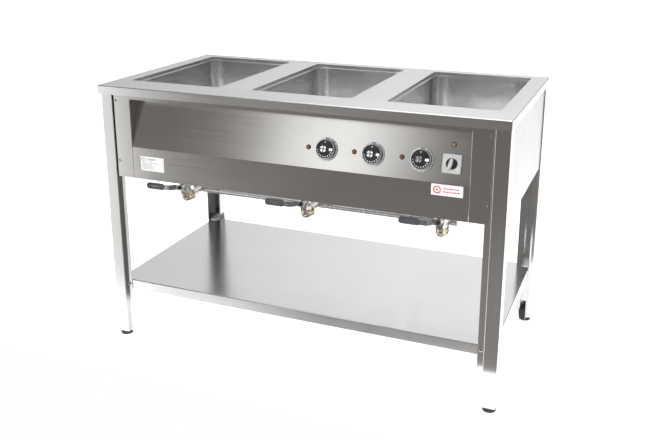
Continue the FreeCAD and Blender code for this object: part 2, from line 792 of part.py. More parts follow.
def make_valve_body(name, x):
    valve = Piece(f"valve_body_{name}")
    half, socket = d.valve_half, d.socket_depth
    valve.add_cylinder((0, 0, -half + d.hex_length), "z", d.valve_radius, (half - d.hex_length) * 2)
    valve.add_hexagon((0, 0, -half), "z", d.hex_flats, d.hex_length)
    valve.add_hexagon((0, 0, half - d.hex_length), "z", d.hex_flats, d.hex_length)
    valve.add_cylinder((0, -d.boss_length, 0), "y", d.boss_radius, d.boss_length)
    valve.ball("Subtractive", (0, 0, 0), d.cavity_radius)
    valve.cut_cylinder((0, 0, -half - 1), "z", d.spout_bore, half * 2 + 2)
    valve.cut_cylinder((0, 0, half - socket), "z", d.spout_radius + d.spout_gap, socket + 1)
    valve.cut_cylinder((0, 0, -half - 1), "z", d.spout_radius + d.spout_gap, socket + 1)
    valve.cut_cylinder((0, -d.boss_length - 1, 0), "y", d.stem_radius + d.stem_gap, d.boss_length + 1)
    valve.at((x, d.drain_y, valve_height))


def make_valve_ball(name, x):
    """The ball with its stem, bored across the flow at rest because the valve is shut."""
    ball = Piece(f"valve_ball_{name}")
    ball.ball("Additive", (0, 0, 0), d.cavity_radius - d.ball_gap)
    shoulder = d.boss_length + 1
    ball.add_cylinder((0, -shoulder, 0), "y", d.stem_radius, shoulder)
    tip = shoulder + d.lever_gauge + d.nut_height + 1.5
    ball.add_cylinder((0, -tip, 0), "y", d.stud_radius, tip)
    ball.cut_cylinder((-d.cavity_radius - 1, 0, 0), "x", d.spout_bore, d.cavity_radius * 2 + 2)
    ball.at((x, d.drain_y, valve_height))


def make_valve_lever(name, x):
    """A cranked flat lever; its hub sits on the stem's shoulder and its arm points left."""
    lever = Piece(f"valve_lever_{name}")
    hub = d.lever_width / 2
    gauge, crank, reach = d.lever_gauge, d.lever_crank, d.lever_reach
    back = -(d.boss_length + 1 + d.stem_gap)
    rise = hub + 6
    run = rise + crank
    bend = gauge * 0.414
    plan = [(hub, back), (-rise, back), (-run, back - crank), (-reach, back - crank),
            (-reach, back - crank - gauge), (-run + bend, back - crank - gauge),
            (-rise + bend, back - gauge), (hub, back - gauge)]
    lever.pad("XY_Plane", plan, d.lever_width)
    lever.cut_cylinder((0, back - gauge - 1, hub), "y", d.stud_radius + d.stem_gap, gauge + 2)
    lever.round(hub - 1, edges_along("y", x=(hub, -reach), z=(0, d.lever_width)))
    lever.at((x, d.drain_y, valve_height - hub))


def make_valve_grip(name, x):
    grip = Piece(f"valve_grip_{name}")
    gauge, thick, wide = d.lever_gauge, d.grip_thickness, d.grip_width
    arm = -(d.boss_length + 1 + d.stem_gap) - d.lever_crank - gauge / 2
    end = -d.lever_reach - 4
    grip.add_box((end, end + d.grip_length), (arm - thick / 2, arm + thick / 2), both(wide / 2))
    grip.round(wide / 2 - 1, edges_along("y", x=(end,)))
    grip.round(2, edges_along("x", y=(arm - thick / 2, arm + thick / 2)))
    slack = d.stem_gap
    inside = (-d.lever_reach - slack, end + d.grip_length + 1)
    grip.cut_box(inside, (arm - gauge / 2 - slack, arm + gauge / 2 + slack), both(d.lever_width / 2 + slack))
    grip.at((x, d.drain_y, valve_height))


def make_lever_nut(name, x):
    nut = Piece(f"lever_nut_{name}")
    seat_y = -(d.boss_length + 1 + d.stem_gap * 2 + d.lever_gauge)
    nut.add_hexagon((0, seat_y - d.nut_height, 0), "y", d.nut_flats, d.nut_height)
    nut.cut_cylinder((0, seat_y - d.nut_height - 1, 0), "y", d.stud_radius + d.stem_gap, d.nut_height + 2)
    nut.at((x, d.drain_y, valve_height))


def make_drain_elbows():
    elbows = Piece("drain_elbows")
    top = valve_height - d.valve_half - pipe_axis
    radius, reach = d.elbow_radius, d.elbow_reach
    for station in WELL_STATIONS.values():
        corner = (station * d.well_pitch, 0, 0)
        collar = (corner[0], reach, 0)
        elbows.ball("Additive", corner, radius)
        elbows.add_cylinder(corner, "z", radius, top - HOUSING_CLEARANCE)
        elbows.add_cylinder(corner, "z", d.spout_radius, top + d.socket_depth - 1)
        elbows.add_cylinder(corner, "y", radius, reach)
        elbows.add_hexagon(collar, "y", d.hex_flats, d.hex_length)
        elbows.ball("Subtractive", corner, d.spout_bore)
        elbows.cut_cylinder(corner, "z", d.spout_bore, top + d.socket_depth)
        elbows.cut_cylinder(corner, "y", d.spout_bore, reach + 1)
        elbows.cut_cylinder(collar, "y", d.pipe_radius + d.spout_gap, d.hex_length + 1)
    elbows.at((0, d.drain_y, pipe_axis))


def make_manifold():
    """The welded drain pipe: one run behind the valves, a stub to each elbow and a rear outlet."""
    pipe = Piece("drain_manifold")
    end = d.well_pitch + d.manifold_radius + 12
    stub_start = d.drain_y + d.elbow_reach
    outlet_end = back_y - 12
    pipe.add_cylinder((-end, d.manifold_y, 0), "x", d.manifold_radius, end * 2)
    for station in WELL_STATIONS.values():
        pipe.add_cylinder((station * d.well_pitch, stub_start, 0), "y", d.pipe_radius, d.manifold_y - stub_start)
    neck = outlet_end - d.outlet_thread
    pipe.add_cylinder((d.outlet_x, d.manifold_y, 0), "y", d.outlet_radius, neck - d.manifold_y)
    pipe.add_cylinder((d.outlet_x, neck, 0), "y", d.spout_radius, d.outlet_thread)
    pipe.cut_cylinder((2 - end, d.manifold_y, 0), "x", d.manifold_bore, end * 2 - 4)
    for station in WELL_STATIONS.values():
        bore = (station * d.well_pitch, stub_start - 1, 0)
        pipe.cut_cylinder(bore, "y", d.pipe_bore, d.manifold_y - stub_start + 1)
    pipe.cut_cylinder((d.outlet_x, d.manifold_y, 0), "y", d.outlet_bore, outlet_end - d.manifold_y + 1)
    pipe.at((0, 0, pipe_axis))


def make_thermostats():
    bodies = Piece("thermostats")
    side, depth = d.thermostat_side / 2, d.thermostat_depth
    top = -d.sheet_gauge
    for index in range(3):
        x = index * d.knob_pitch
        bodies.add_box((x - side, x + side), both(side), (top - depth, top))
        bodies.cut_cylinder((x, 0, top - 12), "z", d.spindle_radius + d.spindle_gap, 13)
    seat(bodies, d.knob_first, d.knob_rise)


def make_spindle(name, x):
    spindle = Piece(f"spindle_{name}")
    low = -d.sheet_gauge - 11
    high = d.knob_stand + d.knob_height - 3
    spindle.add_cylinder((0, 0, low), "z", d.spindle_radius, high - low)
    seat(spindle, x, d.knob_rise)


def make_knob(name, x):
    knob = Piece(f"knob_{name}")
    skirt, face, height = d.knob_radius, d.knob_face_radius, d.knob_height
    hub, rise = d.hub_radius, d.hub_height
    bore = d.spindle_radius + d.spindle_gap
    blind = height - 2
    knob.revolve([(bore, 0), (skirt, 0), (skirt, height * 0.55), (face + 0.8, height - 1), (face, height),
                  (hub + 1, height), (hub, height + rise), (0, height + rise), (0, blind), (bore, blind)])
    seat(knob, x, d.knob_rise, d.knob_stand)


def make_scale_rings():
    rings = Piece("knob_scale_rings")
    for index in range(3):
        rings.add_cylinder((index * d.knob_pitch, 0, 0), "z", d.scale_radius, d.scale_gauge)
        rings.cut_cylinder((index * d.knob_pitch, 0, -1), "z", d.spindle_radius + 1, d.scale_gauge + 2)
    seat(rings, d.knob_first, d.knob_rise)


def lamp_spots():
    spots = [(d.knob_first + index * d.knob_pitch - d.lamp_offset, d.lamp_rise) for index in range(3)]
    return spots + [(d.switch_x, d.switch_lamp_rise)]


def make_lamps():
    lenses = Piece("lamp_lenses")
    bodies = Piece("lamp_bodies")
    first_x, first_rise = lamp_spots()[0]
    for x, rise in lamp_spots():
        spot = (x - first_x, rise - first_rise, 0)
        lenses.add_cylinder(spot, "z", d.lamp_radius, d.lamp_height)
        low = -d.sheet_gauge - d.lamp_depth
        bodies.add_cylinder((spot[0], spot[1], low), "z", d.lamp_body_radius, d.lamp_depth + d.sheet_gauge)
    lenses.round(1.5, lambda edge: close(edge.BoundBox.ZMin, d.lamp_height))
    seat(lenses, first_x, first_rise)
    seat(bodies, first_x, first_rise)


def make_switch():
    plate = Piece("switch_plate")
    half = d.switch_side / 2
    plate.add_box(both(half), both(half), (0, d.switch_plate))
    plate.round(2, edges_along("z"))
    plate.cut_cylinder((0, 0, -1), "z", d.spindle_radius + 2 + d.stem_gap, d.switch_plate + 2)
    seat(plate, d.switch_x, d.switch_rise)
    body = Piece("switch_body")
    side = half - 5
    low = -d.sheet_gauge - d.switch_depth
    body.add_box(both(side), both(side), (low, -d.sheet_gauge))
    body.cut_cylinder((0, 0, -d.sheet_gauge - 15), "z", d.spindle_radius + d.stem_gap, 16)
    seat(body, d.switch_x, d.switch_rise)
    knob = Piece("switch_knob")
    knob.add_cylinder((0, 0, d.switch_plate + 0.4), "z", d.switch_boss, 5)
    knob.add_box(both(4.2), both(d.switch_boss - 1.5), (d.switch_plate + 5, d.switch_plate + 18))
    knob.round(1.5, edges_along("z", x=both(4.2)))
    knob.add_cylinder((0, 0, -d.sheet_gauge - 14), "z", d.spindle_radius, 14 + d.sheet_gauge + d.switch_plate + 2)
    seat(knob, d.switch_x, d.switch_rise)


def make_labels():
    plates = Piece("label_plates")
    for x, drop, width, height in LABELS.values():
        level = d.top_height - drop
        plates.add_box((x - width / 2, x + width / 2), (-0.6, 0), (level - height / 2, level + height / 2))
    plates.at((0, fold_y, 0))


def build():
    make_worktop()
    make_top_screws()
    make_front_frame()
    make_control_panel()
    make_rear_panel()
    for name, side in (("left", -1), ("right", 1)):
        make_side_panel(name, side)
    for name, (side, end, turn) in FOOT_CORNERS.items():
        make_leg(name, side, end, turn)
        make_foot(name, side, end)
    make_foot_sockets()
    make_screws()
    make_shelf()
    make_shelf_ribs()
    make_base_pan()
    make_heaters()
    make_drain_spouts()
    make_drain_elbows()
    make_manifold()
    for index, (name, station) in enumerate(WELL_STATIONS.items()):
        x = station * d.well_pitch
        make_well(name, station)
        make_valve_body(name, x)
        make_valve_ball(name, x)
        make_valve_lever(name, x)
        make_valve_grip(name, x)
        make_lever_nut(name, x)
        knob_x = d.knob_first + index * d.knob_pitch
        make_spindle(name, knob_x)
        make_knob(name, knob_x)
    make_thermostats()
    make_scale_rings()
    make_lamps()
    make_switch()
    make_labels()
    make_cable_gland()
    make_terminal_block()


def check_and_export():
    doc.recompute()
    faults = [f"{each.Label}: {each.State}" for each in doc.Objects
              if any(flag in each.State for flag in ("Invalid", "Error"))]
    faults += [f"{piece.Label}: bad shape" for piece in pieces
               if piece.Shape.isNull() or not piece.Shape.isValid() or not piece.Shape.Solids]
    if faults:
        raise RuntimeError("; ".join(faults))
    os.makedirs("parts", exist_ok=True)
    for piece in pieces:
        piece.Shape.exportStep(os.path.join("parts", f"{piece.Label}.step"))
    print(len(pieces), "pieces written")


build()
check_and_export()
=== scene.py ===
import json
import math

import bmesh
import bpy
from mathutils import Matrix, Vector


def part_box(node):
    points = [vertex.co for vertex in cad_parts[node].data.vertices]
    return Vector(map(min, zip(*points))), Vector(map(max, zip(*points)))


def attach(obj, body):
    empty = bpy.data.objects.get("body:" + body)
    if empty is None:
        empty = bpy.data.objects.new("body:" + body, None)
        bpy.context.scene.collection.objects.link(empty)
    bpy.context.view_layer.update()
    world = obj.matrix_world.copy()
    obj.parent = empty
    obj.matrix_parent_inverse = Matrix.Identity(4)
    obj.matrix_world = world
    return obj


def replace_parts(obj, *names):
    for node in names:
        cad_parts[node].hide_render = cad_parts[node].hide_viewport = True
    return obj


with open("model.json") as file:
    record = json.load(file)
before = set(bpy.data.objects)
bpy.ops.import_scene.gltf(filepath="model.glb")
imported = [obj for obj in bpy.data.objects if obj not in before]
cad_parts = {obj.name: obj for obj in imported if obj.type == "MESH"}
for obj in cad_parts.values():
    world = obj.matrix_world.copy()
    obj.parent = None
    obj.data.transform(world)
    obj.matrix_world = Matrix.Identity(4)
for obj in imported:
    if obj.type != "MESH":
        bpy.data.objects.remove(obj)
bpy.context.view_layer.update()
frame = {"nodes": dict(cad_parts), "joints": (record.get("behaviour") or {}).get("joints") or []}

MM = 0.001
WELLS = ("left", "middle", "right")
CORNERS = ("front_left", "front_right", "back_right", "back_left")
JOINTS = {joint["name"]: joint for joint in frame["joints"]}

# ---------------------------------------------------------------- camera

CAMERA_PLACE = (0.9535, -2.333, 1.309)
CAMERA_TURN = 22.14
CAMERA_DROP = 15.71
CAMERA_LENS = 44.98
CAMERA_SHIFT = -0.10


def make_camera():
    data = bpy.data.cameras.new("camera")
    data.lens = CAMERA_LENS
    data.sensor_width = 36
    data.shift_y = CAMERA_SHIFT
    data.clip_end = 200
    camera = bpy.data.objects.new("camera", data)
    camera.location = CAMERA_PLACE
    camera.rotation_euler = (math.radians(90 - CAMERA_DROP), 0, math.radians(CAMERA_TURN))
    bpy.context.scene.collection.objects.link(camera)
    bpy.context.scene.camera = camera


# ---------------------------------------------------------------- node helpers


class Nodes:
    """A short way to write node trees: every call returns the new node's first output."""

    def __init__(self, tree):
        self.tree = tree

    def new(self, kind, inputs=None, **settings):
        node = self.tree.nodes.new("ShaderNode" + kind)
        for name, value in settings.items():
            setattr(node, name, value)
        for key, value in (inputs or {}).items():
            if isinstance(value, bpy.types.NodeSocket):
                self.tree.links.new(value, node.inputs[key])
            else:
                node.inputs[key].default_value = value
        return node

    def math(self, operation, first, second=0.0, clamp=False):
        return self.new("Math", {0: first, 1: second}, operation=operation, use_clamp=clamp).outputs[0]

    def vector(self, operation, first, second=(0, 0, 0)):
        return self.new("VectorMath", {0: first, 1: second}, operation=operation).outputs[0]

    def step(self, value, low, high, out_low=0.0, out_high=1.0):
        """A smooth step from out_low at low to out_high at high."""
        inputs = {"Value": value, "From Min": low, "From Max": high, "To Min": out_low, "To Max": out_high}
        return self.new("MapRange", inputs, interpolation_type="SMOOTHSTEP").outputs["Result"]

    def linear(self, value, low, high, out_low, out_high):
        inputs = {"Value": value, "From Min": low, "From Max": high, "To Min": out_low, "To Max": out_high}
        return self.new("MapRange", inputs).outputs["Result"]

    def noise(self, vector, scale, detail=2.0, roughness=0.5):
        inputs = {"Vector": vector, "Scale": scale, "Detail": detail, "Roughness": roughness}
        return self.new("TexNoise", inputs).outputs["Fac"]

    def mapped(self, vector, scale, turn=(0, 0, 0)):
        return self.new("Mapping", {"Vector": vector, "Scale": scale, "Rotation": turn}).outputs["Vector"]

    def mix(self, factor, first, second):
        node = self.new("Mix", {0: factor}, data_type="RGBA")
        for socket, value in ((node.inputs[6], first), (node.inputs[7], second)):
            if isinstance(value, bpy.types.NodeSocket):
                self.tree.links.new(value, socket)
            else:
                socket.default_value = (*value, 1)
        return node.outputs[2]

    def bump(self, height, strength, distance, normal=None):
        inputs = {"Height": height, "Strength": strength, "Distance": distance}
        if normal is not None:
            inputs["Normal"] = normal
        return self.new("Bump", inputs).outputs["Normal"]


def new_material(name, color, metallic, roughness):
    material = bpy.data.materials.new(name)
    material.use_nodes = True
    material.diffuse_color = (*color, 1)
    tree = material.node_tree
    shader = tree.nodes["Principled BSDF"]
    shader.inputs["Base Color"].default_value = (*color, 1)
    shader.inputs["Metallic"].default_value = metallic
    shader.inputs["Roughness"].default_value = roughness
    return material, Nodes(tree), shader


# Slightly off the true axes, so that a face square to one still has a direction across its brush lines.
AXES = {"x": (1, 0.02, 0.03), "y": (0.02, 1, 0.03), "z": (0.02, 0.03, 1)}


def grain_scale(axis, along, across):
    return tuple(along if letter == axis else across for letter in "xyz")


def steel(name, color, roughness, brush, gloss_turn=0.6, wave=0.25, spread=0.06):
    """Brushed stainless sheet: fine lines along one axis, gloss stretched across them, slight unevenness."""
    material, nodes, shader = new_material(name, color, 1.0, roughness)
    place = nodes.new("TexCoord").outputs["Object"]
    normal = nodes.new("NewGeometry").outputs["Normal"]
    fine = nodes.noise(nodes.mapped(place, grain_scale(brush, 5, 1400)), 1.0, 3.0, 0.6)
    coarse = nodes.noise(nodes.mapped(place, grain_scale(brush, 2, 260)), 1.0, 3.0, 0.55)
    cloudy = nodes.noise(place, 5.5, 3.0, 0.5)
    lines = nodes.math("ADD", nodes.math("MULTIPLY", fine, 0.6), nodes.math("MULTIPLY", coarse, 0.4))
    gloss = nodes.math("ADD", lines, nodes.math("MULTIPLY", cloudy, 0.6))
    rough = nodes.linear(gloss, 0.5, 1.1, roughness - spread, roughness + spread)
    dark = tuple(channel * 0.93 for channel in color)
    tree = nodes.tree
    tree.links.new(nodes.mix(nodes.linear(lines, 0.30, 0.70, 0, 1), dark, color), shader.inputs["Base Color"])
    tree.links.new(rough, shader.inputs["Roughness"])
    sheet = nodes.noise(place, 4.0, 1.0, 0.4)
    bumped = nodes.bump(sheet, wave, 0.004)
    bumped = nodes.bump(lines, 0.06, 0.0002, bumped)
    tree.links.new(bumped, shader.inputs["Normal"])
    shader.inputs["Anisotropic"].default_value = gloss_turn
    tree.links.new(nodes.vector("CROSS_PRODUCT", normal, AXES[brush]), shader.inputs["Tangent"])
    return material


def plastic(name, color, roughness, grain=0.15, scale=900.0):
    material, nodes, shader = new_material(name, color, 0.0, roughness)
    place = nodes.new("TexCoord").outputs["Object"]
    skin = nodes.noise(place, scale, 3.0, 0.6)
    wear = nodes.noise(place, 60.0, 3.0, 0.6)
    tree = nodes.tree
    light = tuple(min(1.0, channel * 1.25 + 0.004) for channel in color)
    tree.links.new(nodes.mix(nodes.linear(wear, 0.3, 0.7, 0, 1), color, light), shader.inputs["Base Color"])
    rough = nodes.linear(wear, 0.3, 0.7, roughness - 0.06, roughness + 0.08)
    tree.links.new(rough, shader.inputs["Roughness"])
    tree.links.new(nodes.bump(skin, grain, 0.0002), shader.inputs["Normal"])
    return material


def plated(name, color, roughness, patchy=0.05, cast=0.0, metallic=1.0):
    """Plated or cast fittings: small changes of gloss, a cast skin or a part that scatters where asked."""
    material, nodes, shader = new_material(name, color, metallic, roughness)
    place = nodes.new("TexCoord").outputs["Object"]
    patch = nodes.noise(place, 90.0, 4.0, 0.6)
    skin = nodes.noise(place, 700.0, 3.0, 0.6)
    tree = nodes.tree
    dark = tuple(channel * 0.78 for channel in color)
    tree.links.new(nodes.mix(nodes.linear(patch, 0.3, 0.7, 0, 1), dark, color), shader.inputs["Base Color"])
    rough = nodes.linear(patch, 0.3, 0.7, roughness - patchy, roughness + patchy)
    tree.links.new(rough, shader.inputs["Roughness"])
    tree.links.new(nodes.bump(skin, 0.05 + cast, 0.0004), shader.inputs["Normal"])
    return material


def lens_glass(name, deep, pale):
    material, nodes, shader = new_material(name, deep, 0.0, 0.12)
    place = nodes.new("TexCoord").outputs["Object"]
    tree = nodes.tree
    grain = nodes.noise(place, 400.0, 2.0, 0.5)
    color = nodes.mix(nodes.linear(grain, 0.3, 0.7, 0, 1), deep, pale)
    tree.links.new(color, shader.inputs["Base Color"])
    shader.inputs["Coat Weight"].default_value = 0.6
    return material


WELL_FLANGE = 8  # of a well's box that lies under the worktop, front and back
TOP_MARGIN = 12  # at each end of the worktop, brushed along the front


def worktop_steel():
    """The top's rails are brushed along their own length: X at front and back, Y between the wells."""
    material, nodes, shader = new_material("worktop_steel", (0.78, 0.78, 0.775), 1.0, 0.27)
    tree = nodes.tree
    place = nodes.new("TexCoord").outputs["Object"]
    normal = nodes.new("NewGeometry").outputs["Normal"]
    parts = nodes.new("SeparateXYZ", {0: place})
    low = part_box("well_left")[0].y + WELL_FLANGE * MM
    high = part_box("well_left")[1].y - WELL_FLANGE * MM
    inside = nodes.math("MULTIPLY", nodes.math("GREATER_THAN", parts.outputs[1], low),
                        nodes.math("LESS_THAN", parts.outputs[1], high))
    half_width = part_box("worktop")[1].x - TOP_MARGIN * MM
    inner = nodes.math("LESS_THAN", nodes.math("ABSOLUTE", parts.outputs[0]), half_width)
    across = nodes.math("MULTIPLY", inside, inner)
    fine_x = nodes.noise(nodes.mapped(place, (5, 1400, 1400)), 1.0, 3.0, 0.6)
    fine_y = nodes.noise(nodes.mapped(place, (1400, 5, 1400)), 1.0, 3.0, 0.6)
    wide_x = nodes.noise(nodes.mapped(place, (2, 240, 240)), 1.0, 3.0, 0.55)
    wide_y = nodes.noise(nodes.mapped(place, (240, 2, 240)), 1.0, 3.0, 0.55)
    fine = nodes.new("Mix", {0: across, 2: fine_x, 3: fine_y}).outputs[0]
    wide = nodes.new("Mix", {0: across, 2: wide_x, 3: wide_y}).outputs[0]
    lines = nodes.math("ADD", nodes.math("MULTIPLY", fine, 0.6), nodes.math("MULTIPLY", wide, 0.4))
    cloudy = nodes.noise(place, 4.0, 3.0, 0.5)
    gloss = nodes.math("ADD", lines, nodes.math("MULTIPLY", cloudy, 0.5))
    tree.links.new(nodes.linear(gloss, 0.5, 1.0, 0.21, 0.28), shader.inputs["Roughness"])
    tone = nodes.mix(nodes.linear(lines, 0.3, 0.7, 0, 1), (0.745, 0.745, 0.745), (0.78, 0.78, 0.775))
    tree.links.new(tone, shader.inputs["Base Color"])
    turn_x = nodes.vector("CROSS_PRODUCT", normal, AXES["x"])
    turn_y = nodes.vector("CROSS_PRODUCT", normal, AXES["y"])
    turn = nodes.new("Mix", {0: across, 4: turn_x, 5: turn_y}, data_type="VECTOR").outputs[1]
    tree.links.new(turn, shader.inputs["Tangent"])
    shader.inputs["Anisotropic"].default_value = 0.6
    waves = nodes.noise(place, 4.0, 1.0, 0.4)
    sheet = nodes.bump(waves, 0.10, 0.004)
    tree.links.new(nodes.bump(lines, 0.03, 0.0002, sheet), shader.inputs["Normal"])
    return material


MATERIALS = {
    "worktop": worktop_steel(),
    "well": steel("well_steel", (0.92, 0.92, 0.92), 0.22, "z", 0.35, 0.35, 0.05),
    "panel": steel("panel_steel", (0.66, 0.65, 0.635), 0.20, "x", 0.7, 0.12, 0.04),
    "frame": steel("frame_steel", (0.76, 0.755, 0.75), 0.15, "z", 0.7, 0.06, 0.03),
    "side": steel("side_steel", (0.64, 0.64, 0.64), 0.28, "z", 0.6, 0.15),
    "shelf": steel("shelf_steel", (0.87, 0.87, 0.875), 0.20, "x", 0.6, 0.15),
    "screw": plated("screw_steel", (0.62, 0.62, 0.62), 0.25),
    "pipe": plated("pipe_steel", (0.84, 0.84, 0.85), 0.24),
    "heater": plated("heater_steel", (0.28, 0.28, 0.29), 0.45),
    "nickel": plated("valve_nickel", (0.66, 0.65, 0.63), 0.24, 0.08, 0.15),
    "chrome": plated("chrome", (0.80, 0.80, 0.80), 0.10),
    "lever": plated("lever_steel", (0.68, 0.68, 0.69), 0.22),
    "brass": plated("elbow_brass", (0.62, 0.54, 0.41), 0.26, 0.08, 0.20),
    "silver": plated("scale_silver", (0.84, 0.84, 0.845), 0.34, metallic=0.6),
    "black": plastic("knob_black", (0.012, 0.012, 0.013), 0.28, 0.08),
    "matt": plastic("matt_black", (0.022, 0.022, 0.023), 0.55, 0.2),
    "inner": plastic("inner_plastic", (0.55, 0.53, 0.48), 0.5),
    "grip": plastic("grip_grey", (0.085, 0.089, 0.10), 0.45, 0.3, 600.0),
    "white": plastic("print_white", (0.86, 0.86, 0.86), 0.4, 0.05),
    "ink": plastic("print_dark", (0.05, 0.05, 0.055), 0.5, 0.05),
    "pale_ink": plastic("print_grey", (0.42, 0.42, 0.43), 0.5, 0.05),
    "red": plastic("print_red", (0.62, 0.06, 0.08), 0.45, 0.05),
    "label": plastic("label_white", (0.88, 0.88, 0.88), 0.35, 0.05),
    "lens": lens_glass("amber_lens", (0.12, 0.04, 0.018), (0.30, 0.12, 0.05)),
    "pale_lens": lens_glass("pale_lens", (0.26, 0.13, 0.06), (0.46, 0.27, 0.14)),
}

# ---------------------------------------------------------------- mesh helpers


def add_object(name, mesh, material, place, body):
    shape = bpy.data.objects.new(name, mesh)
    mesh.materials.append(MATERIALS[material])
    shape.matrix_world = place
    bpy.context.scene.collection.objects.link(shape)
    mesh.shade_smooth()
    mesh.set_sharp_from_angle(angle=math.radians(35))
    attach(shape, body)
    return shape


def soften(shape, width, segments=3):
    bevel = shape.modifiers.new("soften", "BEVEL")
    bevel.width = width * MM
    bevel.segments = segments
    bevel.limit_method = "ANGLE"
    bevel.angle_limit = math.radians(35)
    bevel.harden_normals = False
    return shape


def ring_points(radius, height, count):
    angles = [math.tau * i / count for i in range(count)]
    return [Vector((radius * math.cos(a), radius * math.sin(a), height)) * MM for a in angles]


def lathe_mesh(name, profile, count=64):
    """Turns (radius, height) pairs about Z; a radius of 0 closes that end."""
    build = bmesh.new()
    rings = []
    for radius, height in profile:
        if radius == 0:
            rings.append([build.verts.new(Vector((0, 0, height)) * MM)])
        else:
            rings.append([build.verts.new(point) for point in ring_points(radius, height, count)])
    for lower, upper in zip(rings, rings[1:]):
        for i in range(count):
            j = (i + 1) % count
            below = [lower[i % len(lower)], lower[j % len(lower)]]
            above = [upper[j % len(upper)], upper[i % len(upper)]]
            build.faces.new(list(dict.fromkeys(below + above)))
    bmesh.ops.recalc_face_normals(build, faces=build.faces)
    mesh = bpy.data.meshes.new(name)
    build.to_mesh(mesh)
    build.free()
    return mesh


def slab_mesh(name, outline, low, high):
    """An outline of (x, y) pairs raised from low to high, in millimetres."""
    build = bmesh.new()
    bottom = [build.verts.new(Vector((x, y, low)) * MM) for x, y in outline]
    top = [build.verts.new(Vector((x, y, high)) * MM) for x, y in outline]
    build.faces.new(list(reversed(bottom)))
    build.faces.new(top)
    for i in range(len(outline)):
        j = (i + 1) % len(outline)
        build.faces.new([bottom[i], bottom[j], top[j], top[i]])
    mesh = bpy.data.meshes.new(name)
    build.to_mesh(mesh)
    build.free()
    return mesh


def joined_mesh(name, meshes):
    build = bmesh.new()
    for mesh, place in meshes:
        start = len(build.verts)
        build.from_mesh(mesh)
        build.verts.ensure_lookup_table()
        bmesh.ops.transform(build, matrix=place, verts=build.verts[start:])
    mesh = bpy.data.meshes.new(name)
    build.to_mesh(mesh)
    build.free()
    return mesh


def shift(x, y, z=0.0):
    return Matrix.Translation(Vector((x, y, z)) * MM)


def turn(angle, axis="Z"):
    return Matrix.Rotation(math.radians(angle), 4, axis)


def rounded_rectangle(width, height, radius, steps=5):
    points = []
    for cx, cy, start in ((1, 1, 0), (-1, 1, 90), (-1, -1, 180), (1, -1, 270)):
        for i in range(steps + 1):
            angle = math.radians(start + 90 * i / steps)
            points.append((cx * (width / 2 - radius) + radius * math.cos(angle),
                           cy * (height / 2 - radius) + radius * math.sin(angle)))
    return points


def arc_band(inner, outer, start, end, steps=24):
    """A flat band of a ring between two angles in degrees."""
    angles = [math.radians(start + (end - start) * i / steps) for i in range(steps + 1)]
    out = [(outer * math.cos(a), outer * math.sin(a)) for a in angles]
    back = [(inner * math.cos(a), inner * math.sin(a)) for a in reversed(angles)]
    return out + back


def circle(radius, count=32, phase=0.0):
    return [(radius * math.cos(phase + math.tau * i / count), radius * math.sin(phase + math.tau * i / count))
            for i in range(count)]


# ---------------------------------------------------------------- CAD nodes that stay, with their finish

FINISHES = {
    "worktop": ["worktop"],
    "well": [f"well_{well}" for well in WELLS],
    "panel": ["front_frame", "control_panel", "rear_panel"],
    "frame": [f"leg_{corner}" for corner in CORNERS],
    "side": ["side_panel_left", "side_panel_right", "base_pan"],
    "shelf": ["shelf", "shelf_stiffeners"],
    "screw": ["flange_screws"] + [f"spindle_{well}" for well in WELLS],
    "pipe": ["drain_manifold", "drain_spouts"],
    "heater": ["heaters"],
    "chrome": [f"valve_ball_{well}" for well in WELLS],
    "matt": ["foot_sockets", "lamp_bodies", "switch_body", "cable_gland"],
    "inner": ["thermostats", "terminal_block"],
}


# Sheets whose sharp edges are folds or dressed cuts, so each one catches a line of light.
FOLDED = ("front_frame", "control_panel", "side_panel_left", "side_panel_right", "shelf")


def dress_cad_nodes():
    for material, names in FINISHES.items():
        for name in names:
            node = frame["nodes"][name]
            node.data.materials.clear()
            node.data.materials.append(MATERIALS[material])
            if name in FOLDED:
                soften(node, 0.7, 2)
            flat = node.modifiers.new("flat_faces", "WEIGHTED_NORMAL")
            flat.weight = 100


# ---------------------------------------------------------------- controls


def panel_place(point):
    """A frame on the sloping panel: X to the right, Y up the slope, Z out of the face."""
    inward = Vector(JOINTS["main_switch_turn"]["axis"])
    out = -inward.normalized()
    right = Vector((1, 0, 0))
    up = out.cross(right)
    place = Matrix((right, up, out)).transposed().to_4x4()
    place.translation = Vector(point)
    return place


# The growing marks on a knob's face: how many, the first one's angle, the step and their circle.
DIAL_MARKS = 9
DIAL_START = 188
DIAL_STEP = 18.5
DIAL_RADIUS = 21.2

SCALE_TICKS = 12  # at 22.5 degrees from the top, so a gap is left at the upper left
TICK_RADIUS = 30.8


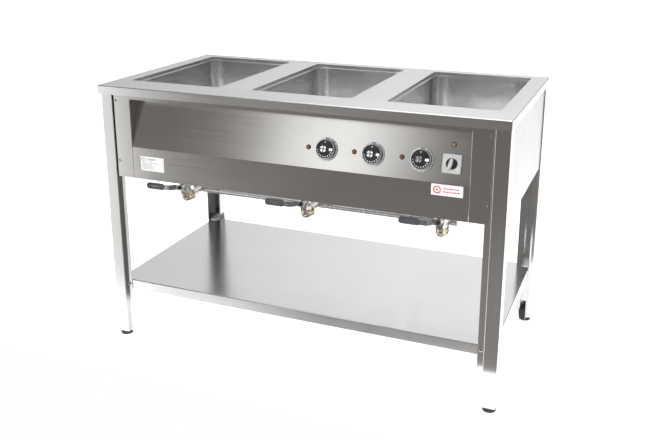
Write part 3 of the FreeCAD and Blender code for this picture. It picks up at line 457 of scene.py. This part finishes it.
def make_knob(well):
    joint = JOINTS[f"thermostat_{well}_turn"]
    place = panel_place(joint["pos_m"])
    body = f"knob_{well}"
    skirt = lathe_mesh("skirt", [(3.1, 1.4), (27.2, 1.4), (28, 2.2), (28, 9.2), (27.4, 9.9), (3.1, 9.9)])
    piece = add_object(f"knob_skirt_{well}", skirt, "black", place, body)
    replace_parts(piece, f"knob_{well}")
    outline = [(25, 9.9), (27.6, 9.9), (27.8, 10.6), (26.6, 14.6), (26.0, 15.2), (25, 15.2)]
    collar = lathe_mesh("collar", outline)
    add_object(f"knob_ring_{well}", collar, "silver", place, body)
    outline = [(25.2, 9.9), (25.8, 15.0), (25.2, 16.0), (24.0, 16.4), (13.0, 16.0), (12.0, 15.2), (0, 15.2)]
    face = lathe_mesh("face", outline)
    add_object(f"knob_face_{well}", face, "black", place, body)
    marks = []
    for i in range(DIAL_MARKS):
        angle = DIAL_START + i * DIAL_STEP
        size = 1.1 + 0.06 * i
        outline = [(-size * 0.7, -size), (size * 0.7, -size), (size, size), (-size, size)]
        mark = slab_mesh("mark", outline, 0, 0.25)
        marks.append((mark, turn(angle) @ shift(DIAL_RADIUS, 0, 16.2) @ turn(90)))
    outline = [(12.8, -3.0), (22.6, -4.4), (23.4, 0), (22.4, 4.0), (12.8, 3.0)]
    pointer = slab_mesh("pointer", outline, 15.9, 17.0)
    marks.append((pointer, Matrix()))
    top = slab_mesh("top", [(-0.7, 17.2), (0.7, 17.2), (0.7, 22.6), (-0.7, 22.6)], 16.2, 16.5)
    marks.append((top, Matrix()))
    add_object(f"knob_marks_{well}", joined_mesh("marks", marks), "white", place, body)
    petals = []
    for i in range(4):
        outline = arc_band(3.0, 9.4, 10 + 90 * i, 80 + 90 * i, 8)
        petals.append((slab_mesh("petal", outline, 15.6, 19.2), Matrix()))
    petals.append((lathe_mesh("cap", [(3.6, 15.2), (3.6, 20.0), (2.6, 20.6), (0, 20.8)], 24), Matrix()))
    cap = add_object(f"knob_cap_{well}", joined_mesh("cap", petals), "chrome", place @ shift(-3.5, 0), body)
    soften(cap, 0.9)


def make_scale(index, well):
    joint = JOINTS[f"thermostat_{well}_turn"]
    place = panel_place(joint["pos_m"])
    disc = lathe_mesh("scale", [(4.2, 0.05), (32.6, 0.05), (33, 0.4), (32.6, 0.8), (4.2, 0.8)], 96)
    piece = add_object(f"scale_disc_{well}", disc, "silver", place, "stand")
    if index == 0:
        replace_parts(piece, "knob_scale_rings")
    prints = [(slab_mesh("arc", arc_band(31.6, 33.0, -70, 66), 0.5, 0.92), Matrix())]
    for i in range(SCALE_TICKS):
        tick = slab_mesh("tick", [(-1.2, -0.3), (1.2, -0.3), (1.2, 0.3), (-1.2, 0.3)], 0.7, 0.9)
        prints.append((tick, turn(90 - 22.5 * i) @ shift(TICK_RADIUS, 0)))
    for x, wide in ((-4.2, 1.4), (0, 1.4), (4.0, 1.2)):
        outline = [(x - wide, 29.0), (x + wide, 29.0), (x + wide, 32.4), (x - wide, 32.4)]
        prints.append((slab_mesh("sign", outline, 0.7, 0.92), Matrix()))
    add_object(f"scale_print_{well}", joined_mesh("prints", prints), "ink", place, "stand")


LENS_RADIUS = 6.6
LAMP_RISE = 1.0  # up the slope, from the knobs' axes
SWITCH_LAMP_RISE = 50.8  # up the slope, from the switch's axis


def lamp_points():
    knob = Vector(JOINTS["thermostat_left_turn"]["pos_m"])
    pitch = JOINTS["thermostat_middle_turn"]["pos_m"][0] - knob.x
    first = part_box("lamp_lenses")[0].x + LENS_RADIUS * MM
    up = panel_place(knob).to_3x3().col[1]
    points = [Vector((first + pitch * i, knob.y, knob.z)) + up * LAMP_RISE * MM for i in range(len(WELLS))]
    switch = Vector(JOINTS["main_switch_turn"]["pos_m"])
    return points + [switch + up * SWITCH_LAMP_RISE * MM]


def make_lamps():
    for index, point in enumerate(lamp_points()):
        place = panel_place(point)
        bezel = lathe_mesh("bezel", [(4.8, 0.1), (7.0, 0.1), (7.1, 0.8), (6.6, 2.0), (4.8, 2.1)], 40)
        piece = add_object(f"lamp_bezel_{index}", bezel, "matt", place, "stand")
        if index == 0:
            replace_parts(piece, "lamp_lenses")
        lens = lathe_mesh("lens", [(5.0, 0.6), (5.2, 2.6), (4.6, 3.6), (3.0, 4.3), (1.2, 4.0), (0, 3.9)], 12)
        glass = "pale_lens" if index == len(WELLS) else "lens"
        add_object(f"lamp_lens_{index}", lens, glass, place, "stand")


def make_switch():
    place = panel_place(JOINTS["main_switch_turn"]["pos_m"])
    plate = slab_mesh("plate", rounded_rectangle(51, 51, 2.2), 0.1, 5.9)
    piece = soften(add_object("switch_face_plate", plate, "silver", place, "stand"), 0.9)
    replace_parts(piece, "switch_plate")
    tick = slab_mesh("tick", [(-0.5, 18.2), (0.5, 18.2), (0.5, 21.5), (-0.5, 21.5)], 5.8, 6.05)
    marks = [(tick, turn(-90 * i)) for i in range(2)]
    add_object("switch_marks", joined_mesh("marks", marks), "ink", place, "stand")
    boss = lathe_mesh("boss", [(4, 6.3), (15, 6.3), (15, 9.6), (14.2, 11.2), (12, 11.8), (0, 11.8)])
    piece = add_object("switch_boss", boss, "black", place, "main_switch")
    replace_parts(piece, "switch_knob")
    half = [(3.6, -13.6), (5.2, -5), (5.0, 5), (3.2, 13.8)]
    outline = half + [(-x, y) for x, y in reversed(half)]
    grip = slab_mesh("bar", outline, 11.2, 23.5)
    soften(add_object("switch_grip", grip, "silver", place @ turn(-12), "main_switch"), 1.2)


# ---------------------------------------------------------------- labels


RATING_SIZE = (82, 45)
BADGE_SIZE = (86, 31)
PRINT_LOW, PRINT_HIGH = 0.55, 0.75  # out of the body's face, so that the print stands just proud of its plate


def label_place(x, z):
    """A frame on the upright face: X to the right, Y up, Z out of the face."""
    place = Matrix(((1, 0, 0), (0, 0, 1), (0, -1, 0))).transposed().to_4x4()
    place.translation = Vector((x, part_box("label_plates")[1].y, z))
    return place


def bar(x, y, wide, tall):
    outline = [(x, y), (x + wide, y), (x + wide, y + tall), (x, y + tall)]
    return slab_mesh("bar", outline, PRINT_LOW, PRINT_HIGH), Matrix()


def print_rows(rows, start, gap, level, drop, tall):
    """Rows of bars like printed words: their lengths, left edge, gap, first level, step down and height."""
    bars = []
    for row, lengths in enumerate(rows):
        x = start
        for length in lengths:
            bars.append(bar(x, level - row * drop, length, tall))
            x += length + gap
    return bars


RATING_ROWS = ((20, 12, 18), (24, 9), (14, 20, 8), (26, 12), (12, 10, 16))
BADGE_ROWS = ((7, 5, 8, 6, 7), (6, 8, 5, 9, 8))


def make_labels():
    low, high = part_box("label_plates")
    wide, tall = RATING_SIZE
    place = label_place(low.x + wide / 2 * MM, low.z + tall / 2 * MM)
    plate = slab_mesh("plate", rounded_rectangle(wide, tall, 2), 0.02, 0.6)
    piece = add_object("label_rating", plate, "label", place, "stand")
    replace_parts(piece, "label_plates")
    ring = (slab_mesh("ring", arc_band(3.0, 6.2, 0, 340, 28), PRINT_LOW, PRINT_HIGH), shift(-30, 13))
    rows = [ring, bar(-20, 13, 34, 3.4), bar(-20, 8.5, 22, 1.6)]
    rows += print_rows(RATING_ROWS, -36, 3, 2.0, 4.6, 1.5)
    add_object("label_rating_print", joined_mesh("print", rows), "pale_ink", place, "stand")
    wide, tall = BADGE_SIZE
    place = label_place(high.x - wide / 2 * MM, high.z - tall / 2 * MM)
    plate = slab_mesh("plate", rounded_rectangle(wide, tall, 1.5), 0.02, 0.6)
    add_object("label_badge", plate, "label", place, "stand")
    disc = (slab_mesh("disc", arc_band(7.6, 11.0, 0, 350, 40), PRINT_LOW, PRINT_HIGH), shift(-27, 0))
    dot = (slab_mesh("dot", circle(2.8), PRINT_LOW, PRINT_HIGH), shift(-27, 0))
    rows = [disc, dot] + print_rows(BADGE_ROWS, -10, 2.2, 3.0, 8.6, 3.2)
    add_object("label_badge_print", joined_mesh("print", rows), "red", place, "stand")


# ---------------------------------------------------------------- valves


HEX_RADIUS = 19.0  # over the corners of the hexagons on valves and elbows
VALVE_HALF = 24.8
VALVE_HEX = 10.6
LEVER_BACK = -34.05  # the side of the lever that lies against the boss
LEVER_GAUGE = 2.5
LEVER_CRANK = 15
LEVER_REACH = 106
LEVER_HALF = 8.5


def make_valve(well):
    joint = JOINTS[f"valve_{well}_turn"]
    body = f"valve_{well}"
    place = Matrix.Translation(Vector(joint["pos_m"]))
    forward = turn(90, "X")
    upper = [(18.9, 0), (18.2, 10), (16.4, 14.5), (16.4, 24), (16.0, VALVE_HALF), (12, VALVE_HALF)]
    outline = [(radius, -height) for radius, height in reversed(upper[1:])] + upper
    boss = [(11.5, 10), (11.5, 17), (9.6, 21), (9.4, 32.4), (8.8, 33), (5.1, 33)]
    shell = [(lathe_mesh("shell", outline, 48), Matrix()), (lathe_mesh("boss", boss, 32), forward)]
    for low in (-VALVE_HALF, VALVE_HALF - VALVE_HEX):
        shell.append((slab_mesh("hexagon", circle(HEX_RADIUS, 6), low, low + VALVE_HEX), Matrix()))
    shell_mesh = joined_mesh("shell", shell)
    piece = add_object(f"valve_shell_{well}", shell_mesh, "nickel", place, "stand")
    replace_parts(soften(piece, 0.8), f"valve_body_{well}")
    near, far = LEVER_BACK - LEVER_GAUGE, LEVER_BACK - LEVER_CRANK
    plan = [(-12.5, LEVER_BACK), (-29.5, far), (-LEVER_REACH, far), (-LEVER_REACH, far - LEVER_GAUGE),
            (-28.3, far - LEVER_GAUGE), (-11.5, near), (8.5, near), (8.5, LEVER_BACK)]
    arm = add_object(f"valve_arm_{well}", lever_mesh(plan), "lever", place, body)
    lever = soften(arm, 0.5, 2)
    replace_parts(lever, f"valve_lever_{well}")
    nut = slab_mesh("nut", circle(5.77, 6), 36.7, 41.4)
    stud = lathe_mesh("stud", [(2.9, 36.7), (2.9, 43.0), (2.4, 43.6), (0, 43.8)], 24)
    nut_mesh = joined_mesh("nut", [(nut, Matrix()), (stud, Matrix())])
    nut_piece = add_object(f"valve_nut_{well}", nut_mesh, "matt", place @ forward, body)
    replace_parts(soften(nut_piece, 0.4, 2), f"lever_nut_{well}")
    sleeve = place @ shift(0, LEVER_BACK - LEVER_CRANK - LEVER_GAUGE / 2)
    grip = soften(add_object(f"valve_sleeve_{well}", grip_mesh(), "grip", sleeve, body), 1.6)
    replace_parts(grip, f"valve_grip_{well}")


def lever_mesh(plan):
    """The cranked strip, raised from its outline seen from above."""
    build = bmesh.new()
    low = [build.verts.new(Vector((x, y, -LEVER_HALF)) * MM) for x, y in plan]
    high = [build.verts.new(Vector((x, y, LEVER_HALF)) * MM) for x, y in plan]
    build.faces.new(low)
    build.faces.new(list(reversed(high)))
    for i in range(len(plan)):
        j = (i + 1) % len(plan)
        build.faces.new([low[j], low[i], high[i], high[j]])
    bmesh.ops.recalc_face_normals(build, faces=build.faces)
    mesh = bpy.data.meshes.new("lever")
    build.to_mesh(mesh)
    build.free()
    return mesh


def grip_mesh():
    """A dipped sleeve with a long slot down its face and a hang hole near the metal."""
    build = bmesh.new()
    outline = rounded_rectangle(62, 20, 8, 6)
    slot = [(x - 4, y) for x, y in rounded_rectangle(38, 3.4, 1.69, 4)]
    hole = [(x + 22, y) for x, y in circle(2.6, 20)]
    rings = {}
    for depth in (-4.0, 4.0):
        edges = []
        for name, ring in (("outline", outline), ("slot", slot), ("hole", hole)):
            verts = [build.verts.new(Vector((x - 79, depth, z)) * MM) for x, z in ring]
            rings[name, depth] = verts
            edges += [build.edges.new((verts[i], verts[(i + 1) % len(verts)])) for i in range(len(verts))]
        bmesh.ops.triangle_fill(build, edges=edges, use_beauty=True, use_dissolve=False)
    for name in ("outline", "slot", "hole"):
        low, high = rings[name, -4.0], rings[name, 4.0]
        for i in range(len(low)):
            j = (i + 1) % len(low)
            build.faces.new([low[i], low[j], high[j], high[i]])
    bmesh.ops.recalc_face_normals(build, faces=build.faces)
    mesh = bpy.data.meshes.new("grip")
    build.to_mesh(mesh)
    build.free()
    return mesh


ELBOW_RADIUS = 15.0


def make_elbows():
    low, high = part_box("drain_elbows")
    middle = (low.x + high.x) / 2
    pitch = JOINTS["valve_right_turn"]["pos_m"][0] - middle
    joint = JOINTS["valve_middle_turn"]["pos_m"]
    level = low.z + ELBOW_RADIUS * MM
    for index, well in enumerate(WELLS):
        place = Matrix.Translation(Vector((middle + pitch * (index - 1), joint[1], level)))
        top = (joint[2] - 25 * MM - level) / MM - 0.5
        parts = [(bend_mesh(ELBOW_RADIUS - 0.4, 11), Matrix())]
        outline = [(9.6, 9), (14.6, 9), (15.6, 11), (15.8, top - 1), (15, top), (9.6, top)]
        parts.append((lathe_mesh("neck", outline, 40), Matrix()))
        collar = slab_mesh("collar", circle(HEX_RADIUS, 6, math.pi / 6), 24.2, 34.8)
        sleeve = lathe_mesh("sleeve", [(9.6, 9), (14.6, 9), (15.4, 12), (15.4, 25), (9.6, 25)], 40)
        for mesh in (sleeve, collar):
            parts.append((mesh, turn(-90, "X")))
        elbow = joined_mesh("elbow", parts)
        piece = add_object(f"drain_bend_{well}", elbow, "brass", place, "stand")
        soften(piece, 0.7, 2)
        if index == 0:
            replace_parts(piece, "drain_elbows")


def bend_mesh(radius, reach, steps=10, count=40):
    """A quarter bend from straight up (+Z) to straight back (+Y), its outer corner kept full."""
    build = bmesh.new()
    rings = []
    stations = [(Vector((0, 0, reach)), Vector((0, 0, 1)))]
    for i in range(steps + 1):
        angle = math.radians(90 * i / steps)
        centre = Vector((0, 6 - 6 * math.cos(angle), 6 - 6 * math.sin(angle)))
        stations.append((centre, Vector((0, -math.sin(angle), math.cos(angle)))))
    stations.append((Vector((0, reach, 0)), Vector((0, -1, 0))))
    for centre, along in stations:
        side = Vector((1, 0, 0))
        other = along.cross(side)
        ring = []
        for j in range(count):
            angle = math.tau * j / count
            point = centre + side * radius * math.cos(angle) + other * radius * math.sin(angle)
            ring.append(build.verts.new(point * MM))
        rings.append(ring)
    for first, second in zip(rings, rings[1:]):
        for j in range(count):
            k = (j + 1) % count
            build.faces.new([first[j], first[k], second[k], second[j]])
    bmesh.ops.recalc_face_normals(build, faces=build.faces)
    mesh = bpy.data.meshes.new("bend")
    build.to_mesh(mesh)
    build.free()
    return mesh


# ---------------------------------------------------------------- screws and feet


COVER_HEAD = 4  # radii of the screw heads
SHELF_HEAD = 6
HEAD_RISE = 2.2
SCREW_INSET = 49.5  # from a leg's outer faces to its screws
LEG_STEP = 12  # from a leg's outer face back to its strip


def screw_mesh(radius, rise):
    """A pan head and its cross, the head's flat side at z 0; the cross is a thin slab just proud of the head,
    coloured dark as painted shade for the hollow cross recess.
    """
    outline = [(0, 0), (radius, 0), (radius, rise * 0.35), (radius * 0.86, rise * 0.8), (radius * 0.5, rise),
               (0, rise)]
    arm = [(-0.5, -0.5), (-0.5, -2), (0.5, -2)]
    cross = [(x * c - y * s, x * s + y * c) for c, s in ((1, 0), (0, 1), (-1, 0), (0, -1)) for x, y in arm]
    return lathe_mesh("head", outline, 28), slab_mesh("cross", cross, rise - 0.05, rise + 0.06)


def make_screws():
    leg = {corner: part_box(f"leg_{corner}") for corner in CORNERS}
    panels = {"front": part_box("front_frame")[0].y, "rear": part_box("rear_panel")[1].y,
              "left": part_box("side_panel_left")[0].x, "right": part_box("side_panel_right")[1].x}
    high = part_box("cover_screws")[1].z - COVER_HEAD * MM
    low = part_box("cover_screws")[0].z + COVER_HEAD * MM
    head, cross = screw_mesh(COVER_HEAD, HEAD_RISE)
    heads, cross_shades = [], []
    across = SCREW_INSET * MM
    out = {"front": turn(90, "X"), "rear": turn(-90, "X"), "left": turn(-90, "Y"), "right": turn(90, "Y")}
    for level in (high, low):
        for corner, (near, far) in leg.items():
            end, side = corner.split("_")
            x = near.x + across if side == "left" else far.x - across
            y = near.y + across if end == "front" else far.y - across
            face = "front" if end == "front" else "rear"
            spots = {face: Vector((x, panels[face], level)), side: Vector((panels[side], y, level))}
            for name, spot in spots.items():
                place = Matrix.Translation(spot) @ out[name] @ turn(37 * len(heads))
                heads.append((head, place))
                cross_shades.append((cross, place))
    cover_heads = joined_mesh("heads", heads)
    piece = add_object("cover_screw_heads", cover_heads, "screw", Matrix(), "stand")
    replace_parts(piece, "cover_screws")
    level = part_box("shelf_screws")[0].z + SHELF_HEAD * MM
    head, cross = screw_mesh(SHELF_HEAD, HEAD_RISE)
    heads = []
    for corner, (near, far) in leg.items():
        end, side = corner.split("_")
        x = near.x + across if side == "left" else far.x - across
        y = near.y + LEG_STEP * MM if end == "front" else far.y - LEG_STEP * MM
        place = Matrix.Translation(Vector((x, y, level))) @ out["front" if end == "front" else "rear"]
        heads.append((head, place))
        cross_shades.append((cross, place))
    shelf_heads = joined_mesh("heads", heads)
    piece = add_object("shelf_screw_heads", shelf_heads, "screw", Matrix(), "stand")
    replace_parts(piece, "shelf_screws")
    # The crosses are thin dark slabs in the print colour on the heads: painted shade standing in for the
    # hollow cross recesses.
    add_object("screw_recess_shades", joined_mesh("cross_shades", cross_shades), "ink", Matrix(), "stand")


def make_feet():
    for corner in CORNERS:
        low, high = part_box(f"foot_{corner}")
        centre = (low + high) / 2
        radius = (high.x - low.x) / 2 / MM
        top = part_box("foot_sockets")[0].z / MM - 0.6
        end = high.z / MM
        pad = [(0, 0), (radius - 1.6, 0), (radius - 0.4, 0.8), (radius, 2.2), (radius, top * 0.62),
               (radius - 0.8, top * 0.8), (radius - 2.6, top)]
        stud = [(5, top), (5, end - 1), (4, end), (0, end)]
        place = Matrix.Translation(Vector((centre.x, centre.y, 0)))
        foot = lathe_mesh("foot", pad + stud, 48)
        piece = add_object(f"foot_pad_{corner}", foot, "matt", place, f"foot_{corner}")
        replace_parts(piece, f"foot_{corner}")


# ---------------------------------------------------------------- stage

FLOOR_EDGE = -0.53


def make_floor():
    build = bmesh.new()
    corners = ((-14, FLOOR_EDGE), (14, FLOOR_EDGE), (14, 26), (-14, 26))
    build.faces.new([build.verts.new((x, y, 0)) for x, y in corners])
    mesh = bpy.data.meshes.new("floor")
    build.to_mesh(mesh)
    build.free()
    floor = bpy.data.objects.new("floor", mesh)
    material, _, shader = new_material("floor", (0.93, 0.93, 0.93), 0.0, 0.9)
    shader.inputs["Emission Color"].default_value = (1, 1, 1, 1)
    shader.inputs["Emission Strength"].default_value = 0.6
    mesh.materials.append(material)
    bpy.context.scene.collection.objects.link(floor)


def patch(nodes, angle, rise, angles, rises, soft):
    """1 inside a window of directions, 0 outside, with soft edges, in degrees."""
    sides = []
    for value, (low, high), width in ((angle, angles, soft[0]), (rise, rises, soft[1])):
        sides.append(nodes.step(value, low - width, low + width))
        sides.append(nodes.step(value, high - width, high + width, 1.0, 0.0))
    first = nodes.math("MULTIPLY", sides[0], sides[1])
    second = nodes.math("MULTIPLY", sides[2], sides[3])
    return nodes.math("MULTIPLY", first, second)


# Soft boxes and walls of the studio. Each line holds the angles from the front towards the left, the rises
# above the floor, the widths of the soft edges, all in degrees, and the strength.
STUDIO = (
    ((17.3, 26.2), (2, 40), (3.3, 6), 1.5),
    ((-10, 24), (-60, -21), (6, 4), 0.10),
    ((36.5, 150), (-33, 2), (0.6, 3), 1.3),
    ((28, 60), (-33, -25), (4, 2), 1.5),
    ((100, 200), (5, 50), (12, 8), 0.50),
    ((152, 200), (5, 50), (14, 8), 0.30),
    ((-200, -120), (-90, 60), (12, 12), 0.35),
)
STUDIO_BASE = (0.175, 0.164, 0.152)
STUDIO_TINT = (0.975, 0.985, 1.0)
ZENITH_RISES = (58, 80)
ZENITH_STRENGTH = 2.8


def make_studio():
    world = bpy.data.worlds.new("studio")
    bpy.context.scene.world = world
    world.use_nodes = True
    nodes = Nodes(world.node_tree)
    background = world.node_tree.nodes["Background"]
    direction = nodes.new("TexCoord").outputs["Generated"]
    parts = nodes.new("SeparateXYZ", {0: direction})
    x, y, z = parts.outputs[0], parts.outputs[1], parts.outputs[2]
    radians = nodes.math("ARCTAN2", nodes.math("MULTIPLY", x, -1.0), nodes.math("MULTIPLY", y, -1.0))
    angle = nodes.math("DEGREES", radians)
    rise = nodes.math("DEGREES", nodes.math("ARCSINE", z))
    total = nodes.step(rise, *ZENITH_RISES, 0.0, ZENITH_STRENGTH)
    for angles, rises, soft, strength in STUDIO:
        part = nodes.math("MULTIPLY", patch(nodes, angle, rise, angles, rises, soft), strength)
        total = nodes.math("ADD", total, part)
    light = nodes.new("CombineXYZ", {0: total, 1: total, 2: total}).outputs[0]
    shaded = nodes.vector("ADD", nodes.vector("MULTIPLY", light, STUDIO_TINT), STUDIO_BASE)
    camera_ray = nodes.new("LightPath").outputs["Is Camera Ray"]
    color = nodes.mix(camera_ray, shaded, (1, 1, 1))
    world.node_tree.links.new(color, background.inputs["Color"])
    background.inputs["Strength"].default_value = 1.0


def make_light(name, place, target, size, power, mirrored=True):
    data = bpy.data.lights.new(name, "AREA")
    data.shape = "RECTANGLE"
    data.size, data.size_y = size
    data.energy = power
    light = bpy.data.objects.new(name, data)
    light.location = place
    light.rotation_euler = (Vector(target) - Vector(place)).to_track_quat("-Z", "Y").to_euler()
    bpy.context.scene.collection.objects.link(light)
    light.visible_glossy = mirrored


def main():
    make_camera()
    dress_cad_nodes()
    for index, well in enumerate(WELLS):
        make_knob(well)
        make_scale(index, well)
        make_valve(well)
    make_lamps()
    make_switch()
    make_labels()
    make_elbows()
    make_screws()
    make_feet()
    make_floor()
    make_studio()
    make_light("top_box", (0.2, 0.3, 3.2), (0, 0, 0.8), (3.2, 2.4), 50)
    make_light("front_fill", (0.6, -3.4, 2.0), (0, 0, 0.5), (3.0, 2.0), 110, mirrored=False)
    bpy.context.scene.view_settings.view_transform = "Standard"


main()
